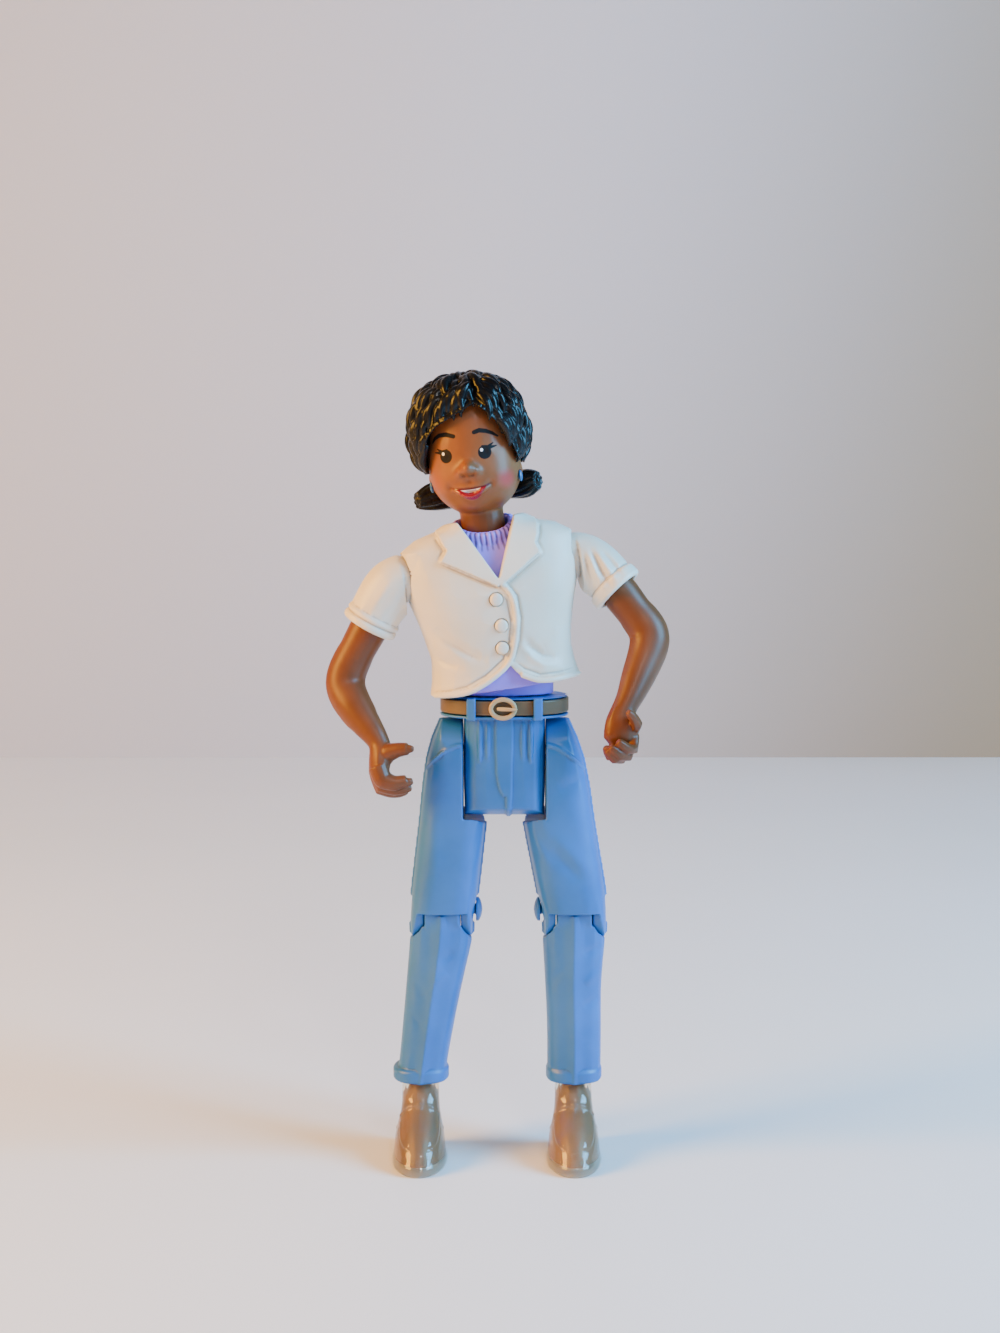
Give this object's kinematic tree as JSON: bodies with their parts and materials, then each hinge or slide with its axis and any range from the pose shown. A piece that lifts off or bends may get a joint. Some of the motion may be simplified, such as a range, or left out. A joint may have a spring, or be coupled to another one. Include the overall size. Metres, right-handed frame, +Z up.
{
  "type": "jointed dollhouse doll",
  "caption": "Standing jointed plastic doll of a woman in a vest and long trousers, with arms, legs, waist and head that turn.",
  "frame": {"origin": "on the floor under the centre of the doll's bounding box", "axes": "+Z up, -Y towards the doll's front, +X towards the doll's left"},
  "size_m": [0.0646, 0.0266, 0.1499],
  "materials": {
    "skin": "satin moulded brown plastic",
    "hair": "glossy black moulded plastic",
    "vest": "satin off-white plastic",
    "shirt": "satin lilac plastic",
    "trousers": "satin light blue plastic",
    "belt": "tan plastic",
    "buckle": "light tan plastic",
    "foot": "tan-brown plastic",
    "shoe": "clear amber plastic",
    "stud": "glossy pale blue paint",
    "steel": "plain steel pin"
  },
  "bodies": {
    "pelvis": {"pelvis_front": "trousers", "pelvis_back": "trousers", "belt": "belt", "belt_buckle": "buckle", "belt_prong": "buckle", "hip_axle": "steel"},
    "waist": {"waist_plug": "shirt", "waist_pin": "steel"},
    "torso": {"torso_front": "shirt", "torso_back": "shirt", "vest_front": "vest", "vest_back": "vest", "vest_button_1": "vest", "vest_button_2": "vest", "vest_button_3": "vest", "shoulder_axle": "steel"},
    "head": {"head": "skin", "hair_cap": "hair", "hair_roll": "hair", "earring_right": "stud", "earring_left": "stud"},
    "arm_right": {"sleeve_right": "vest", "arm_right": "skin"},
    "arm_left": {"sleeve_left": "vest", "arm_left": "skin"},
    "thigh_right": {"thigh_front_right": "trousers", "thigh_back_right": "trousers", "knee_pin_right": "trousers"},
    "thigh_left": {"thigh_front_left": "trousers", "thigh_back_left": "trousers", "knee_pin_left": "trousers"},
    "shin_right": {"shin_right": "trousers", "foot_core_right": "foot", "shoe_shell_right": "shoe"},
    "shin_left": {"shin_left": "trousers", "foot_core_left": "foot", "shoe_shell_left": "shoe"}
  },
  "joints": [
    {"name": "waist_turn", "type": "hinge", "parent": "pelvis", "child": "waist", "pos_m": [0.00133, 0.00257, 0.089], "axis": [0, 0, 1], "range_deg": [-52.5, 37.5]},
    {"name": "waist_lean", "type": "hinge", "parent": "waist", "child": "torso", "pos_m": [0.00133, 0.00257, 0.0925], "axis": [-0.1305, 0.9914, 0], "range_deg": [0, 16]},
    {"name": "neck_turn", "type": "hinge", "parent": "torso", "child": "head", "pos_m": [-0.00239, 0.00207, 0.11924], "axis": [-0.138, -0.0182, 0.9903], "range_deg": [-75, 105]},
    {"name": "shoulder_right", "type": "hinge", "parent": "torso", "child": "arm_right", "pos_m": [-0.01726, 0.00012, 0.11097], "axis": [-0.9818, -0.1293, -0.1392], "continuous": true},
    {"name": "shoulder_left", "type": "hinge", "parent": "torso", "child": "arm_left", "pos_m": [0.01416, 0.00425, 0.11542], "axis": [-0.9818, -0.1293, -0.1392], "continuous": true},
    {"name": "hip_right", "type": "hinge", "parent": "pelvis", "child": "thigh_right", "pos_m": [-0.00867, 0.00257, 0.0783], "axis": [-1, 0, 0], "range_deg": [-30, 90]},
    {"name": "hip_left", "type": "hinge", "parent": "pelvis", "child": "thigh_left", "pos_m": [0.01133, 0.00257, 0.0783], "axis": [-1, 0, 0], "range_deg": [-30, 90]},
    {"name": "knee_right", "type": "hinge", "parent": "thigh_right", "child": "shin_right", "pos_m": [-0.01032, 0.00257, 0.0478], "axis": [1, 0, 0], "range_deg": [0, 90]},
    {"name": "knee_left", "type": "hinge", "parent": "thigh_left", "child": "shin_left", "pos_m": [0.01463, 0.00257, 0.0478], "axis": [1, 0, 0], "range_deg": [0, 90]}
  ]
}
